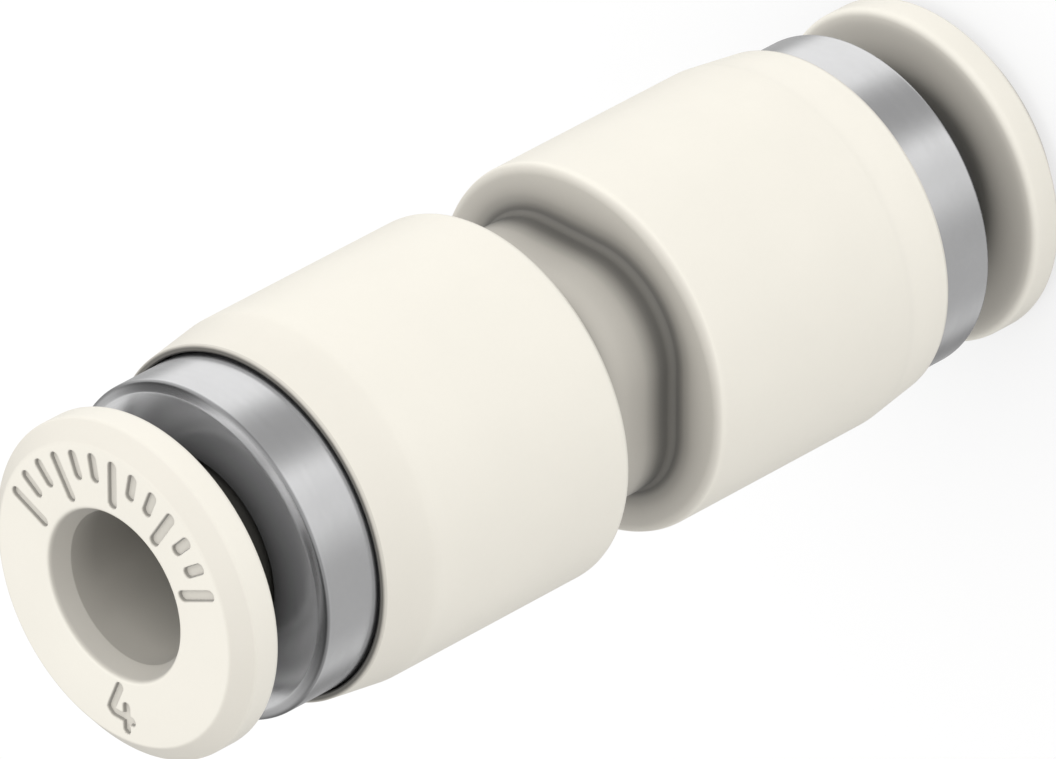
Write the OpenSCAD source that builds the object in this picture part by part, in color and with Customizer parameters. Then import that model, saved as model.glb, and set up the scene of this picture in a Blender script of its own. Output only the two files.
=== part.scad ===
// Straight push-in fitting that joins two plastic tubes of one size.
// It stands on the face of its lower release ring, with its axis upright.
// Heights named h_ are measured along the axis from the middle of the body, towards either end.

/* [Tube] */
// Outside diameter of the tube
tube_d = 4; // [3.6:0.1:4.6]
// Radial room round the tube in the release ring's bore
ring_room = 0.065; // [0.03:0.005:0.12]
// Radial room round the tube in the body's guide bore
guide_room = 0.05; // [0.02:0.01:0.12]
// Radial width of the stop that the end of the tube meets
stop_w = 0.7; // [0.4:0.05:1.1]
// Length of the narrow bore between the two stops
stop_land = 3.7; // [2.4:0.1:4.6]

/* [Body] */
// Length of the moulded body
body_l = 20; // [19:0.5:26]
// Thickness of the plastic round the collar, at the mouth
mouth_wall = 0.18; // [0.12:0.01:0.6]
// How much the barrel narrows towards its mouth, on the radius
taper_drop = 0.23; // [0.1:0.01:0.4]
// Length of the barrel's narrowing stretch
taper_l = 1.65; // [1:0.05:3]
// Radius that blends the barrel into its narrowing stretch
taper_blend_r = 2.5; // [1:0.1:4]
// Rounding of the barrel's edge next to the waist
shoulder_r = 0.22; // [0.05:0.01:0.4]
// Rounding of the mouth's outer edge
mouth_edge_r = 0.05; // [0.02:0.01:0.08]
// Length of the waist between the two barrels
waist_l = 3.1; // [2:0.1:5]
// Size of the waist across its flats
waist_flats = 6.86; // [6.2:0.02:7.4]
// Rounding of the waist's corners
waist_corner_r = 2.5; // [1:0.1:3]
// Fillet where the waist meets the barrels
waist_fillet_r = 0.25; // [0.1:0.05:0.5]

/* [Inside the body] */
// Length of the guide bore between the stop and the seal
guide_l = 1.4; // [0.8:0.1:2]
// Radial depth of the seal's chamber outside the guide bore
chamber_w = 1.35; // [1.1:0.05:1.6]
// Depth of the recess in the mouth that seats the collar's head
recess_l = 0.7; // [0.4:0.05:1]
// Chamfer at the mouth of the recess and of the guide bore
lead_in = 0.08; // [0.04:0.01:0.12]

/* [Release ring] */
// Thickness of the flange
flange_t = 1.28; // [1:0.02:2]
// How far the flange's rim stands out past the collar
flange_over = 0.03; // [0:0.01:0.5]
// Width of the bevel round the flange's face
flange_bevel_w = 0.52; // [0.2:0.02:0.9]
// Height of the bevel round the flange's face
flange_bevel_l = 0.45; // [0.2:0.05:0.7]
// Rounding of the flange's edges
flange_edge_r = 0.12; // [0.04:0.01:0.14]
// Fillet between the flange and the sleeve
flange_fillet_r = 0.25; // [0.1:0.05:0.4]
// Wall of the sleeve
sleeve_wall = 0.5; // [0.4:0.02:0.8]
// Width of the cone that leads the tube into the bore
mouth_w = 0.265; // [0.16:0.005:0.5]
// Height of that cone
mouth_l = 0.55; // [0.3:0.05:0.9]
// How far the retaining bead stands out from the sleeve
bead_out = 0.735; // [0.5:0.005:0.9]
// Length of the bead's full diameter
bead_l = 0.6; // [0.3:0.05:0.9]
// Length of the tapered tip below the bead
tip_l = 1.85; // [1.2:0.05:2.2]
// Wall left at the end of the tapered tip
tip_wall = 0.38; // [0.25:0.01:0.5]
// Number of slots that let the sleeve's end spring
slot_count = 4; // [3:1:6]
// Width of each slot
slot_w = 0.5; // [0.3:0.05:0.7]
// How far the slots run past the bead, into the plain sleeve
slot_past_bead = 0.5; // [0.3:0.05:1]

/* [Collar] */
// How far the collar stands out of the body
collar_out = 1.83; // [1.4:0.05:3]
// Radial width of the collar's head past its skirt
head_step = 0.54; // [0.3:0.02:0.9]
// Radial gap round the collar's head in the mouth of the body
head_gap = 0.05; // [0.02:0.01:0.12]
// Width of the bevel round the collar's rim
rim_bevel_w = 0.28; // [0.1:0.02:0.6]
// Height of the bevel round the collar's rim
rim_bevel_l = 0.13; // [0.05:0.01:0.3]
// Rounding of the two edges of that bevel
rim_edge_r = 0.12; // [0.02:0.01:0.14]
// Wall of the skirt that is pressed into the body
skirt_wall = 0.55; // [0.45:0.05:0.9]
// Number of barbs round the skirt
barb_count = 3; // [1:1:4]
// Distance from one barb to the next
barb_pitch = 0.55; // [0.4:0.05:0.6]
// Depth of the groove between two barbs
barb_depth = 0.15; // [0.05:0.01:0.25]
// Running gap between the release ring's sleeve and the collar's neck
neck_gap = 0.185; // [0.08:0.005:0.3]
// Radial gap between the release ring's bead and the collar's bore
bead_gap = 0.15; // [0.05:0.01:0.3]
// Axial gap between the bead and the collar's shoulder when the ring is out
shoulder_gap = 0.03; // [0.01:0.01:0.06]

/* [Claw] */
// Thickness of the claw's sheet metal
claw_t = 0.25; // [0.15:0.01:0.35]
// Number of teeth
tooth_count = 8; // [5:1:10]
// Slope of the teeth towards the middle of the body, in degrees
tooth_slope = 32; // [25:1:38]
// How far the tips of the teeth bite into the tube
tooth_bite = 0.08; // [0.02:0.01:0.2]
// Width of the slit between two teeth
slit_w = 0.5; // [0.3:0.05:0.7]
// Radius of the round end of each slit
slit_end_r = 0.34; // [0.2:0.02:0.4]
// Inner edge of the flat rim, past the bore of the collar
rim_cover = 0.04; // [0:0.02:0.1]

/* [Seal and support ring] */
// Length of the seal
seal_l = 1.6; // [1.2:0.05:2.2]
// How far the seal's lip squeezes the tube
seal_squeeze = 0.12; // [0.04:0.01:0.25]
// Radius of the seal's rounded lip
seal_lip_r = 0.5; // [0.3:0.05:0.58]
// Length of the support ring
support_l = 1.6; // [1.3:0.05:2.2]
// Radial room round the tube in the support ring
support_room = 0.1; // [0.05:0.01:0.25]
// Height of the support ring's straight bore below its cone
support_land = 0.25; // [0.1:0.05:0.5]
// Gap round the pieces that are only laid into the body
loose_gap = 0.02; // [0.01:0.01:0.05]

/* [Travel] */
// Travel of the release ring before it meets the collar
ring_travel = 1.54; // [1:0.02:1.8]
// Gap between the sleeve's tip and the teeth when the ring is out
tip_gap = 1.15; // [0.8:0.05:1.6]

/* [Hidden] */
$fn = 96;
// Small overlap that keeps a cut clear of the face it starts from
past = 0.5;

// Radii, from the tube outwards
tube_r = tube_d / 2;
ring_bore_r = tube_r + ring_room;
guide_r = tube_r + guide_room;
flow_r = guide_r - stop_w;
chamber_r = guide_r + chamber_w;
sleeve_r = ring_bore_r + sleeve_wall;
neck_r = sleeve_r + neck_gap;
bead_r = sleeve_r + bead_out;
tip_r = ring_bore_r + tip_wall;
collar_bore_r = bead_r + bead_gap;
socket_r = collar_bore_r + skirt_wall;
collar_r = socket_r + head_step;
recess_r = collar_r + head_gap;
mouth_r = recess_r + mouth_wall;
barrel_r = mouth_r + taper_drop;
flange_r = collar_r + flange_over;
tooth_tip_r = tube_r - tooth_bite;
tooth_root_r = collar_bore_r - rim_cover;
seal_tip_r = tube_r - seal_squeeze;
support_bore_r = tube_r + support_room;

// Heights along the axis, from the middle outwards
h_stop = stop_land / 2;
h_seal = h_stop + guide_l;
h_support = h_seal + seal_l + loose_gap;
h_claw = h_support + support_l;
h_skirt = h_claw + claw_t;
h_tooth_under_tip = h_skirt - (tooth_root_r - tip_r) * tan(tooth_slope);
h_tip = h_tooth_under_tip + tip_gap;
h_bead = h_tip + tip_l;
h_bead_top = h_bead + bead_l;
h_neck = h_bead_top + shoulder_gap;
h_mouth = body_l / 2;
h_head = h_mouth - recess_l;
h_rim = h_mouth + collar_out;
h_flange = h_rim + ring_travel;
h_face = h_flange + flange_t;

// Unit vector from one point to another
function direction(from, to) = (to - from) / norm(to - from);

// The sliver outside an arc of radius r that rounds the corner at b, between its neighbours a and c
module corner_sliver(a, b, c, r) {
    to_a = direction(b, a);
    to_c = direction(b, c);
    half_angle = acos(to_a * to_c) / 2;
    reach = r / tan(half_angle);
    centre = b + (to_a + to_c) / norm(to_a + to_c) * r / sin(half_angle);
    difference() {
        polygon([b, b + to_a * reach, centre, b + to_c * reach]);
        translate(centre) circle(r);
    }
}

// One end's piece, placed on the upper or on the lower half of the fitting
module at_end(upper) {
    translate([0, 0, h_face]) rotate([upper ? 0 : 180, 0, 0]) children();
}

// Solid outline of one barrel, from the waist to the mouth
module barrel_section() {
    foot = [barrel_r, waist_l / 2];
    bend = [barrel_r, h_mouth - taper_l];
    lip = [mouth_r, h_mouth];
    difference() {
        polygon([[0, foot.y], foot, bend, lip, [0, h_mouth]]);
        corner_sliver([0, foot.y], foot, bend, shoulder_r);
        corner_sliver(foot, bend, lip, taper_blend_r);
        corner_sliver(bend, lip, [0, h_mouth], mouth_edge_r);
    }
}

// Square with round corners, the waist's outline
module waist_outline() {
    straight = waist_flats - 2 * waist_corner_r;
    square([waist_flats, straight], center = true);
    square([straight, waist_flats], center = true);
    for (x = [-1, 1], y = [-1, 1])
        translate([x, y] * straight / 2) circle(waist_corner_r);
}

// Section of the fillet that runs round the waist below the barrel's face
module fillet_section() {
    difference() {
        square(waist_fillet_r);
        translate([waist_fillet_r, 0]) circle(waist_fillet_r);
    }
}

// Fillet round one end of the waist: four straight runs and four quarter turns
module waist_fillet() {
    straight = waist_flats - 2 * waist_corner_r;
    for (turn = [0 : 90 : 270])
        rotate(turn) {
            translate([waist_flats / 2, straight / 2, 0])
                rotate([90, 0, 0]) linear_extrude(straight) fillet_section();
            translate([straight, straight] / 2)
                rotate_extrude(angle = 90) translate([waist_corner_r, 0]) fillet_section();
        }
}

// Everything that is bored out of one half of the body
module half_bores() {
    translate([0, 0, -past]) cylinder(h = h_stop + 2 * past, r = flow_r);
    translate([0, 0, h_stop]) cylinder(h = h_support - h_stop, r = guide_r);
    translate([0, 0, h_seal - lead_in])
        cylinder(h = lead_in, r1 = guide_r, r2 = guide_r + lead_in);
    translate([0, 0, h_seal]) cylinder(h = h_support - h_seal + past, r = chamber_r);
    translate([0, 0, h_support]) cylinder(h = h_head - h_support + past, r = socket_r);
    translate([0, 0, h_head]) cylinder(h = recess_l + past, r = recess_r);
}

// Moulded body: two barrels on a rounded square waist
module body() {
    color("ivory")
    translate([0, 0, h_face])
    difference() {
        union() {
            translate([0, 0, -waist_l / 2]) linear_extrude(waist_l) waist_outline();
            for (turn = [0, 180])
                rotate([turn, 0, 0]) {
                    rotate_extrude() barrel_section();
                    translate([0, 0, waist_l / 2 - waist_fillet_r]) waist_fillet();
                }
        }
        for (turn = [0, 180]) rotate([turn, 0, 0]) half_bores();
    }
}

// Section of the release ring: flange, sleeve, retaining bead and tapered tip
module release_ring_section() {
    cone_foot = [ring_bore_r, h_face - mouth_l];
    face_in = [ring_bore_r + mouth_w, h_face];
    face_out = [flange_r - flange_bevel_w, h_face];
    rim_top = [flange_r, h_face - flange_bevel_l];
    rim_foot = [flange_r, h_flange];
    fillet_centre = [sleeve_r + flange_fillet_r, h_flange - flange_fillet_r];
    difference() {
        polygon([
            face_in, face_out, rim_top, rim_foot,
            [fillet_centre.x, h_flange], fillet_centre, [sleeve_r, fillet_centre.y],
            [sleeve_r, h_bead_top], [bead_r, h_bead_top], [bead_r, h_bead], [tip_r, h_tip],
            [ring_bore_r, h_tip], cone_foot
        ]);
        corner_sliver(cone_foot, face_in, face_out, flange_edge_r);
        corner_sliver(face_in, face_out, rim_top, flange_edge_r);
        corner_sliver(face_out, rim_top, rim_foot, flange_edge_r);
        corner_sliver(rim_top, rim_foot, [fillet_centre.x, h_flange], flange_edge_r);
        translate(fillet_centre) circle(flange_fillet_r);
    }
}

// Release ring: pressing its flange drives the tapered tip against the teeth
module release_ring(upper) {
    slot_l = h_bead_top + slot_past_bead - h_tip;
    color("ivory")
    at_end(upper)
    difference() {
        rotate_extrude() release_ring_section();
        for (i = [0 : slot_count - 1])
            rotate((i + 0.5) * 360 / slot_count)
                translate([0, -slot_w / 2, h_tip - past]) cube([bead_r + past, slot_w, slot_l + past]);
    }
}

// Section of the collar: bevelled head, barbed skirt, neck and inner shoulder
module collar_section() {
    rim_in = [neck_r, h_rim];
    rim_out = [collar_r - rim_bevel_w, h_rim];
    band_top = [collar_r, h_rim - rim_bevel_l];
    band_foot = [collar_r, h_head];
    difference() {
        polygon([
            rim_in, rim_out, band_top, band_foot,
            [socket_r, h_head], [socket_r, h_skirt], [collar_bore_r, h_skirt],
            [collar_bore_r, h_neck], [neck_r, h_neck]
        ]);
        corner_sliver(rim_in, rim_out, band_top, rim_edge_r);
        corner_sliver(rim_out, band_top, band_foot, rim_edge_r);
        for (i = [0 : barb_count - 1])
            translate([socket_r, h_skirt + i * barb_pitch])
                polygon([[0, 0], [-barb_depth, 0], [0, barb_pitch * 0.8]]);
    }
}

// Metal collar pressed into the mouth of the body, which holds the release ring by its bead
module collar(upper) {
    color("silver")
    at_end(upper) rotate_extrude() collar_section();
}

// Stamped claw: a flat rim with a slit cone of teeth that let the tube in but not out
module claw(upper) {
    drop = (tooth_root_r - tooth_tip_r) * tan(tooth_slope);
    slit_root_r = tooth_root_r - slit_end_r;
    color("lightsteelblue")
    at_end(upper)
    difference() {
        rotate_extrude()
            polygon([
                [socket_r - loose_gap, h_skirt], [tooth_root_r, h_skirt],
                [tooth_tip_r, h_skirt - drop], [tooth_tip_r, h_claw - drop],
                [tooth_root_r, h_claw], [socket_r - loose_gap, h_claw]
            ]);
        for (i = [0 : tooth_count - 1])
            rotate(i * 360 / tooth_count) translate([0, 0, h_claw - drop - past]) {
                translate([0, -slit_w / 2, 0]) cube([slit_root_r, slit_w, drop + claw_t + 2 * past]);
                translate([slit_root_r, 0, 0])
                    cylinder(h = drop + claw_t + 2 * past, r = slit_end_r, $fn = 32);
            }
    }
}

// Ring that carries the claw's rim, with a cone that leaves the teeth room to open
module support_ring(upper) {
    cone_top_r = tooth_root_r;
    color("gainsboro")
    at_end(upper) rotate_extrude()
        polygon([
            [support_bore_r, h_support], [socket_r - loose_gap, h_support],
            [socket_r - loose_gap, h_claw], [cone_top_r, h_claw],
            [support_bore_r, h_support + support_land]
        ]);
}

// Rubber seal with a rounded lip that is squeezed against the tube
module seal(upper) {
    color("dimgray")
    at_end(upper) rotate_extrude() {
        translate([seal_tip_r + seal_lip_r, h_seal])
            square([chamber_r - loose_gap - seal_tip_r - seal_lip_r, seal_l]);
        translate([seal_tip_r + seal_lip_r, h_seal + seal_l / 2]) circle(seal_lip_r);
    }
}

body();
release_ring(true);  // upper_release_ring
collar(true);  // upper_collar
claw(true);  // upper_claw
support_ring(true);  // upper_support_ring
seal(true);  // upper_seal
release_ring(false);  // lower_release_ring
collar(false);  // lower_collar
claw(false);  // lower_claw
support_ring(false);  // lower_support_ring
seal(false);  // lower_seal
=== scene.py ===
# %% [markdown]
# # A straight push-in fitting for two small plastic tubes
# Each end of the fitting takes a tube. A ring of steel teeth holds it, a rubber seal closes
# round it, and pressing the plastic release ring lets it go again. The solids come from a
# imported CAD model, which is loaded first and never moved. Everything after that dresses it:
# finer meshes in the same places, and a finish for each material.

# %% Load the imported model
import math

import bmesh
import bpy
import numpy as np
from mathutils import Matrix, Vector


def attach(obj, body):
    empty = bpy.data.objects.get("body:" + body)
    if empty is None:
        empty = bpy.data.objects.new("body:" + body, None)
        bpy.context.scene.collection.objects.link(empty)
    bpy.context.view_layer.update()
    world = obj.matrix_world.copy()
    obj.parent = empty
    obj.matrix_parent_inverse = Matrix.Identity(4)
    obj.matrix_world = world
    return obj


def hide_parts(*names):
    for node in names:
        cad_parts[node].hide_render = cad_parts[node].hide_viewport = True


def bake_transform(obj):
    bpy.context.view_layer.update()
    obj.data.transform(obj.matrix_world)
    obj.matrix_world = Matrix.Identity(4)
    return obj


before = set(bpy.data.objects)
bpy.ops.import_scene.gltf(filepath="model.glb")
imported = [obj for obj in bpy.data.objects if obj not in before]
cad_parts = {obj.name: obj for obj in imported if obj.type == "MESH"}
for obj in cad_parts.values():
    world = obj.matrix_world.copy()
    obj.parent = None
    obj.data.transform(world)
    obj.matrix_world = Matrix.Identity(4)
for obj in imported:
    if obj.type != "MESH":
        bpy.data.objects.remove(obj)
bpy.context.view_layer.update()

# %% [markdown]
# ## The camera
# A product picture like this is taken with a long lens from half a metre away, so the two
# ends of the fitting look nearly the same size. The camera is rolled until the fitting,
# which stands upright here, lies across the picture. Its place is worked out from angles and
# a distance, which is easier to change than a matrix typed in by hand.

# %% Place the camera
MM = 0.001
MIDDLE = Vector((0, 0, 14.65 * MM))
azimuth, elevation, roll = (math.radians(v) for v in (-48.7, 37.0825, 117.913))
DISTANCE, RIGHT_OF_AXIS, ABOVE_AXIS = 494.0594 * MM, 0.149885 * MM, 0.154683 * MM
LENS, SENSOR = 674.035, 36

ahead = Vector((
    -math.sin(azimuth) * math.cos(elevation),
    math.cos(azimuth) * math.cos(elevation),
    -math.sin(elevation),
))
level_side = ahead.cross(Vector((0, 0, 1))).normalized()
level_up = level_side.cross(ahead)
camera_up = math.cos(roll) * level_up + math.sin(roll) * level_side
camera_side = ahead.cross(camera_up)

camera = bpy.data.objects.new("camera", bpy.data.cameras.new("camera"))
bpy.context.scene.collection.objects.link(camera)
camera.data.lens = LENS
camera.data.sensor_width = SENSOR
camera.data.clip_start, camera.data.clip_end = 0.01, 10
place = MIDDLE - ahead * DISTANCE - camera_side * RIGHT_OF_AXIS - camera_up * ABOVE_AXIS
camera.matrix_world = Matrix.Translation(place) @ Matrix(
    (camera_side, camera_up, -ahead)
).transposed().to_4x4()
bpy.context.scene.camera = camera
bpy.context.scene.view_settings.view_transform = "Standard"
print("camera at", [round(v, 4) for v in place])

# %% [markdown]
# ## Nodes in a few words
# A material or a world is a small graph of nodes. Making each node takes several lines of
# Python, so one helper adds a node, sets its options, and fills its inputs. An input gets
# either a plain value or the output of another node.

# %% A helper that adds a node
def add(tree, kind, inputs=(), **options):
    made = tree.nodes.new("ShaderNode" + kind)
    for option, value in options.items():
        setattr(made, option, value)
    for key, value in dict(inputs).items():
        if isinstance(value, bpy.types.NodeSocket):
            tree.links.new(value, made.inputs[key])
        else:
            made.inputs[key].default_value = value
    return made


def math_node(tree, operation, *values, clamp=False):
    return add(tree, "Math", enumerate(values), operation=operation, use_clamp=clamp).outputs[0]


def product(tree, first, *others):
    for other in others:
        first = math_node(tree, "MULTIPLY", first, other)
    return first


def vector_node(tree, operation, *vectors, **scale):
    """Gives a vector, or a single value where the operation is a length or a dot product."""
    made = add(tree, "VectorMath", dict(enumerate(vectors)) | scale, operation=operation)
    return made.outputs["Value" if operation in ("LENGTH", "DOT_PRODUCT") else "Vector"]


def remap(tree, value, low, high, to_low, to_high, smooth=False):
    made = add(tree, "MapRange", {
        "Value": value, "From Min": low, "From Max": high, "To Min": to_low, "To Max": to_high,
    }, interpolation_type="SMOOTHSTEP" if smooth else "LINEAR")
    return made.outputs["Result"]


def curve(tree, value, points):
    """A smooth line through points; it stays level before the first and after the last."""
    (start, _), (end, _) = points[0], points[-1]
    made = add(tree, "FloatCurve", {"Value": remap(tree, value, start, end, 0, 1)})
    line = made.mapping.curves[0].points
    for i, (x, y) in enumerate(points):
        where = ((x - start) / (end - start), y)
        if i == 0 or i == len(points) - 1:
            line[-1 if i else 0].location = where
        else:
            line.new(*where)
    made.mapping.update()
    return made.outputs[0]

# %% [markdown]
# ## The light
# The fitting is pale all over, so it wants a soft, even studio: a bright room and one wide
# softbox. The room is the world shader. What it shows depends on who asks, which the Light
# Path node tells. The camera sees plain white. Polished metal sees the same white room with
# a few soft grey cards in it, because chrome in an all-white room looks like flat grey paint;
# photographers hang dark cards for the same reason. Some cards stand round the table, and
# fade out towards the ceiling, and two hang above it. All other rays get an even light that
# is a little stronger on the softbox's side.

# %% The room
KEY_DIRECTION = Vector((0.02, -0.866, 0.5)).normalized()
# How bright the even light is, and how much it rises towards the softbox
ROOM_LIGHT, ROOM_SLOPE = 0.865, 0.45
# Standing cards: the way they stand, half their width and the width of their soft edge, in
# degrees, and how bright they are
STANDING = [(-96, 0, 33, 0.42), (44, 33, 24, 0.48), (124, 45, 35, 0.61), (170, 40, 29, 0.8)]
# Hanging cards have their height above the horizon as a second angle
HANGING = [(107, 61, 3, 46.5, 0.11), (-5, 39, 3, 24, 0.14)]
# How bright the ceiling is, and how far up a ray points where it starts and where it is full
CEILING, CEILING_FROM, CEILING_FULL = 0.8, 0.1, 0.7
# A direction times this lies flat
FLATTEN = (1, 1, 0)

world = bpy.data.worlds.new("studio room")
bpy.context.scene.world = world
world.use_nodes = True
tree = world.node_tree
tree.nodes.clear()
direction = add(tree, "TexCoord").outputs["Generated"]
flat = vector_node(tree, "NORMALIZE", vector_node(tree, "MULTIPLY", direction, FLATTEN))


def card(tree, look, way, height, half_width, soft_edge, brightness):
    way, height = math.radians(way), math.radians(height)
    level = math.cos(height)
    towards = (math.cos(way) * level, math.sin(way) * level, math.sin(height))
    facing = vector_node(tree, "DOT_PRODUCT", look, towards)
    outside, inside = (math.cos(math.radians(v)) for v in (half_width + soft_edge, half_width))
    return remap(tree, facing, outside, inside, 1, brightness, smooth=True)


room_seen = product(tree, *(card(tree, flat, way, 0, *rest) for way, *rest in STANDING))
upward = add(tree, "SeparateXYZ", {0: direction}).outputs["Z"]
overhead = remap(tree, upward, CEILING_FROM, CEILING_FULL, 0, 1, smooth=True)
lighter = math_node(tree, "SUBTRACT", CEILING, room_seen)
room_seen = math_node(tree, "MULTIPLY_ADD", overhead, lighter, room_seen)
room_seen = product(tree, room_seen, *(card(tree, direction, *hung) for hung in HANGING))
key_side = vector_node(tree, "DOT_PRODUCT", direction, KEY_DIRECTION)
room_light = math_node(tree, "MULTIPLY_ADD", key_side, ROOM_SLOPE, ROOM_LIGHT)
path = add(tree, "LightPath").outputs
mirrored = math_node(tree, "ADD", path["Is Glossy Ray"], path["Is Transmission Ray"], clamp=True)
white = path["Is Camera Ray"]
seen = math_node(tree, "ADD", math_node(tree, "MULTIPLY", mirrored, room_seen), white)
unseen = math_node(tree, "SUBTRACT", 1.0, math_node(tree, "ADD", mirrored, white, clamp=True))
strength = math_node(tree, "MULTIPLY_ADD", unseen, room_light, seen)
background = add(tree, "Background", {"Color": (1, 1, 1, 1), "Strength": strength})
add(tree, "OutputWorld", {"Surface": background.outputs[0]})
print("room with", len(STANDING) + len(HANGING), "grey cards")

# %% The softbox
SOFTBOX_SIZE, SOFTBOX_AWAY, SOFTBOX_SHARE = 0.55, 0.6, 0.06
softbox = bpy.data.objects.new("softbox", bpy.data.lights.new("softbox", "AREA"))
bpy.context.scene.collection.objects.link(softbox)
softbox.data.shape = "DISK"
softbox.data.size = SOFTBOX_SIZE
# This power lights a white surface that faces the lamp to SOFTBOX_SHARE of white
softbox.data.energy = SOFTBOX_SHARE * math.pi ** 2 * SOFTBOX_AWAY ** 2
softbox.location = MIDDLE + KEY_DIRECTION * SOFTBOX_AWAY
softbox.rotation_mode = "QUATERNION"
softbox.rotation_quaternion = KEY_DIRECTION.to_track_quat("Z", "Y")
softbox.visible_camera = False
softbox.visible_glossy = False
print("softbox power in W:", round(softbox.data.energy, 3))

# %% [markdown]
# ## The floor
# The table under the fitting is white paper. To the camera it is mostly a plain white, with
# enough of real paper mixed in to keep the soft shadow at the fitting's foot. To the light it
# is paper on a light table, so it throws light back up, also close to the fitting's foot.
# Mirrors look through it into the room, so that both collars show the same surroundings.

# %% Lay the floor
# How pale the paper is, how much of it the camera sees, and how much plain white with it
PAPER, PAPER_SHOWN, WHITE_SHOWN = 0.8, 0.4, 0.7
# The light table's glow, and its share in what the light meets
TABLE_GLOW, GLOW_SHARE = 0.9, 0.35
FLOOR_HALF, FLOOR_DROP = 1.5, 0.01 * MM

paper = bpy.data.materials.new("white_paper")
paper.use_nodes = True
tree = paper.node_tree
tree.nodes.clear()
diffuse = add(tree, "BsdfDiffuse", {"Color": (PAPER, PAPER, PAPER, 1)})
glow = add(tree, "Emission", {"Strength": WHITE_SHOWN / (1 - PAPER_SHOWN)})
to_camera = add(tree, "MixShader", {
    0: PAPER_SHOWN, 1: glow.outputs[0], 2: diffuse.outputs[0],
})
path = add(tree, "LightPath").outputs
shown = math_node(tree, "ADD", path["Is Camera Ray"], path["Is Glossy Ray"])
shown = math_node(tree, "ADD", shown, path["Is Transmission Ray"], clamp=True)
table = add(tree, "Emission", {"Strength": TABLE_GLOW})
to_light = add(tree, "MixShader", {0: GLOW_SHARE, 1: diffuse.outputs[0], 2: table.outputs[0]})
surface = add(tree, "MixShader", {0: shown, 1: to_light.outputs[0], 2: to_camera.outputs[0]})
add(tree, "OutputMaterial", {"Surface": surface.outputs[0]})

corners = [
    (x * FLOOR_HALF, y * FLOOR_HALF, -FLOOR_DROP)
    for x, y in ((-1, -1), (1, -1), (1, 1), (-1, 1))
]
floor_mesh = bpy.data.meshes.new("floor")
floor_mesh.from_pydata(corners, [], [(0, 1, 2, 3)])
floor_mesh.materials.append(paper)
floor = bpy.data.objects.new("floor", floor_mesh)
bpy.context.scene.collection.objects.link(floor)
floor.visible_glossy = False
print("floor", 2 * FLOOR_HALF, "m across")

# %% [markdown]
# ## Effects that several finishes share
# Fine grain, patches of slightly different tone, rubbed edges and turning lines turn up in
# more than one material. Each is a shader node group with named inputs, built once. A group
# works on the object's own coordinates, which are in metres here, so sizes given in
# millimetres are turned into noise scales inside the group. A swing is the pair of noise
# values that an effect runs between.

# %% A helper that starts a group
def start_group(name, inputs, outputs):
    group = bpy.data.node_groups.new(name, "ShaderNodeTree")
    for label, kind, default in inputs:
        socket = group.interface.new_socket(label, in_out="INPUT", socket_type="NodeSocket" + kind)
        socket.default_value = default
    for label, kind in outputs:
        group.interface.new_socket(label, in_out="OUTPUT", socket_type="NodeSocket" + kind)
    print("group:", name)
    given = group.nodes.new("NodeGroupInput").outputs
    return group, given, group.nodes.new("NodeGroupOutput").inputs


def noise(tree, size_mm, detail, vector=None):
    if isinstance(size_mm, bpy.types.NodeSocket):
        size_mm = math_node(tree, "DIVIDE", 1 / MM, size_mm)
    else:
        size_mm = 1 / (MM * size_mm)
    if vector is None:
        vector = add(tree, "TexCoord").outputs["Object"]
    made = add(tree, "TexNoise", {"Vector": vector, "Scale": size_mm, "Detail": detail})
    return made.outputs[0]


def place_group(tree, group, **inputs):
    made = tree.nodes.new("ShaderNodeGroup")
    made.node_tree = group
    for key, value in inputs.items():
        socket = made.inputs[key.replace("_", " ")]
        if isinstance(value, bpy.types.NodeSocket):
            tree.links.new(value, socket)
        else:
            socket.default_value = value
    return made.outputs

# %% Grain left by the mould
# Beside the fine grain there is a coarse one: how many times as wide and as deep it is
COARSE_SIZE, COARSE_DEPTH = 9.0, 1.6
GRAIN_SWING = 0.7, 1.3

grain, given, result = start_group(
    "mould grain", [("Size", "Float", 0.06)], [("Height", "Float"), ("Dullness", "Float")],
)
fine = noise(grain, given["Size"], detail=3.0)
coarse = noise(grain, product(grain, given["Size"], COARSE_SIZE), detail=2.0)
dullness = remap(grain, math_node(grain, "ADD", fine, coarse), *GRAIN_SWING, -1, 1)
grain.links.new(math_node(grain, "MULTIPLY_ADD", coarse, COARSE_DEPTH, fine), result["Height"])
grain.links.new(dullness, result["Dullness"])

# %% Patches of tone
# Small specks, in mm, are mixed into the patches
SPECK_SIZE, SPECK_SHARE = 0.12, 0.35
TONE_SWING = 0.42, 0.93

tone, given, result = start_group(
    "uneven tone",
    [("Colour", "Color", (1, 1, 1, 1)), ("Amount", "Float", 0.02), ("Size", "Float", 3.0)],
    [("Colour", "Color")],
)
patches = noise(tone, given["Size"], detail=4.0)
specks = noise(tone, SPECK_SIZE, detail=2.0)
both = math_node(tone, "MULTIPLY_ADD", specks, SPECK_SHARE, patches)
swing = product(tone, remap(tone, both, *TONE_SWING, -1, 1), given["Amount"])
brighter = math_node(tone, "ADD", swing, 1.0)
tone.links.new(vector_node(tone, "SCALE", given["Colour"], Scale=brighter), result["Colour"])

# %% Rubbed edges
# How well the rounded and the true normal agree where rubbing starts and where it is full,
# then the size in mm of the patches that break it up, and the least that they leave of it
RUBBED_FROM, RUBBED_FULL = 0.995, 0.88
BROKEN_SIZE, BROKEN_SWING, LEAST_RUBBED = 0.5, (0.35, 0.65), 0.25

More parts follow.
